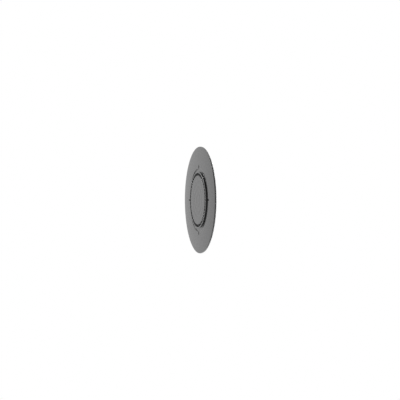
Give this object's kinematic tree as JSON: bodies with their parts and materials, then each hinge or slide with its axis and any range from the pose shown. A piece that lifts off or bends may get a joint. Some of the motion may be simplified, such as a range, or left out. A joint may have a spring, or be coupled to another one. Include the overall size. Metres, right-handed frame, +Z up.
{
  "type": "adhesive magnetic phone patch",
  "caption": "Round, thin moulded patch that bonds to the back of a phone and lets it click onto a magnetic mount by its raised, toothed hub.",
  "frame": {"origin": "Centre of the adhesive pad's back face, the face that meets the phone.", "axes": "+Y points into the phone, along the patch's axis; the hub faces -Y. +Z is up, as in the picture, and +X is to the side. Notches lie on the X and Z axes."},
  "size_m": [0.064, 0.0024, 0.064],
  "materials": {
    "plate": "satin, fine moulded grain",
    "disc": "satin, faint concentric rings",
    "magnet": "nickel plated",
    "backing": "rolled steel",
    "adhesive": "clear acrylic adhesive"
  },
  "bodies": {
    "root": {"patch_plate": "plate", "centre_disc": "disc", "magnet": "magnet", "backing_disc": "backing", "adhesive_pad": "adhesive"}
  },
  "joints": []
}
